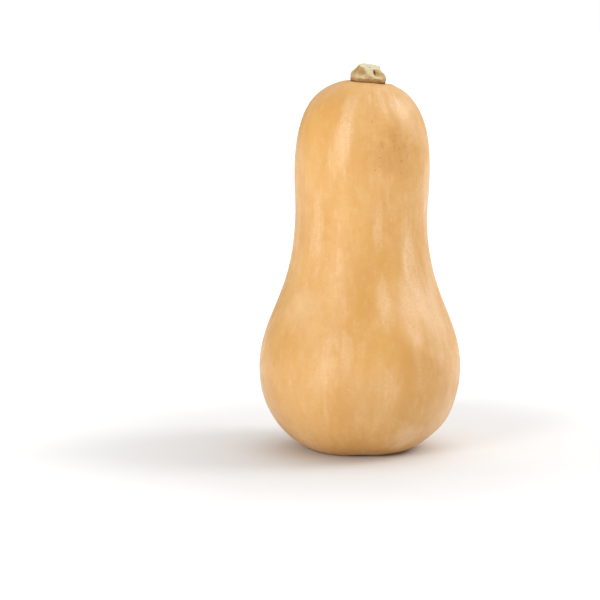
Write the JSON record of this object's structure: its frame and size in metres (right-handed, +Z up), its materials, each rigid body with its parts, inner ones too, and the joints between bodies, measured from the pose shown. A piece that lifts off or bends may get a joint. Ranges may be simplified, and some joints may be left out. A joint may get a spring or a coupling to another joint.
{
  "type": "butternut squash",
  "caption": "Whole butternut squash standing upright: round bulb, long thick neck, smooth pale orange skin and a corky stub of stem on the crown.",
  "frame": {"origin": "on the resting plane, under the middle of the whole object's box", "axes": "+Z up along the squash from its blossom end to its stem; +X to the right and -Y to the front in the usual view"},
  "size_m": [0.129, 0.129, 0.2466],
  "materials": {
    "skin": "smooth waxy rind, soft satin, faintly mottled",
    "stem_cork": "dry matt cork with a pale cut top"
  },
  "bodies": {
    "root": {"fruit": "skin", "stem": "stem_cork"}
  },
  "joints": []
}
